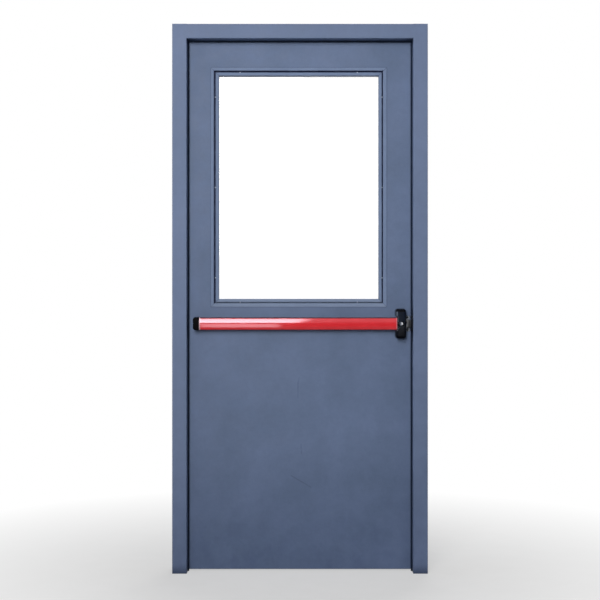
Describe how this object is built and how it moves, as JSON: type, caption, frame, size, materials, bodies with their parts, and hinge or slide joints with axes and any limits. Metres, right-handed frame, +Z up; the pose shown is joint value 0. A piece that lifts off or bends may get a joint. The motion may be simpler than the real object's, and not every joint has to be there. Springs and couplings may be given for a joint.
{
  "type": "glazed steel door",
  "caption": "Single-leaf painted steel door with a large glazed panel and a red panic bar, hinged in its folded steel frame.",
  "frame": {"origin": "on the floor, at the middle of the whole box's width and depth", "axes": "+X from the hinge side to the lock side, +Y from the push side to the pull side, +Z up"},
  "size_m": [1, 0.128, 2.15],
  "materials": {
    "frame_paint": "satin",
    "leaf_paint": "satin",
    "trim_paint": "satin",
    "bar_red": "gloss",
    "black_moulding": "matte",
    "cap_black": "matte",
    "seal_rubber": "matte",
    "glazing_tape": "matte",
    "fire_strip": "matte",
    "plain_steel": "satin",
    "bright_zinc": "satin",
    "dark_steel": "satin",
    "black_screw": "satin",
    "rail_aluminium": "satin",
    "pane_glass": "gloss",
    "core_wool": "matte"
  },
  "bodies": {
    "frame": {"hinge_jamb": "frame_paint", "lock_jamb": "frame_paint", "frame_head": "frame_paint", "seal_hinge_side": "seal_rubber", "seal_lock_side": "seal_rubber", "seal_head": "seal_rubber", "fire_strip_hinge_side": "fire_strip", "fire_strip_lock_side": "fire_strip", "fire_strip_head": "fire_strip", "hinge_lower_frame_wing": "plain_steel", "hinge_middle_frame_wing": "plain_steel", "hinge_upper_frame_wing": "plain_steel", "hinge_pins": "plain_steel", "hinge_washers": "plain_steel", "hinge_frame_screws": "bright_zinc", "strike": "dark_steel", "strike_screws": "black_screw"},
    "leaf": {"push_skin": "leaf_paint", "pull_skin": "leaf_paint", "mineral_core": "core_wool", "hinge_backing_plates": "plain_steel", "lock_backing_plate": "plain_steel", "liner_bottom": "plain_steel", "liner_right": "plain_steel", "liner_top": "plain_steel", "liner_left": "plain_steel", "casing_bottom": "trim_paint", "casing_right": "trim_paint", "casing_top": "trim_paint", "casing_left": "trim_paint", "bead_bottom": "trim_paint", "bead_right": "trim_paint", "bead_top": "trim_paint", "bead_left": "trim_paint", "bead_screws": "bright_zinc", "pull_casing_bottom": "trim_paint", "pull_casing_right": "trim_paint", "pull_casing_top": "trim_paint", "pull_casing_left": "trim_paint", "glass_pane": "pane_glass", "glazing_tape_push": "glazing_tape", "glazing_tape_pull": "glazing_tape", "setting_blocks": "seal_rubber", "hinge_lower_leaf_wing": "plain_steel", "hinge_middle_leaf_wing": "plain_steel", "hinge_upper_leaf_wing": "plain_steel", "hinge_leaf_screws": "bright_zinc", "bar_rail": "rail_aluminium", "end_cap": "cap_black", "lock_base": "dark_steel", "lock_screws": "black_screw", "lock_cover": "black_moulding"},
    "bar": {"push_pad": "bar_red", "drive_tongue": "bright_zinc"},
    "latch": {"latch_bolt": "dark_steel"}
  },
  "joints": [
    {"name": "leaf_swing", "type": "hinge", "parent": "frame", "child": "leaf", "pos_m": [-0.4605, 0.055, 1.065], "axis": [0, 0, 1], "range_deg": [0, 170]},
    {"name": "bar_push", "type": "slide", "parent": "leaf", "child": "bar", "axis": [0, 1, 0], "range_m": [0, 0.009], "stiffness_N_per_m": 1500},
    {"name": "latch_retract", "type": "slide", "parent": "leaf", "child": "latch", "axis": [-1, 0, 0], "range_m": [0, 0.014]}
  ],
  "couplings": [
    {"joint": "latch_retract", "follows": "bar_push", "ratio": 1.5555}
  ]
}
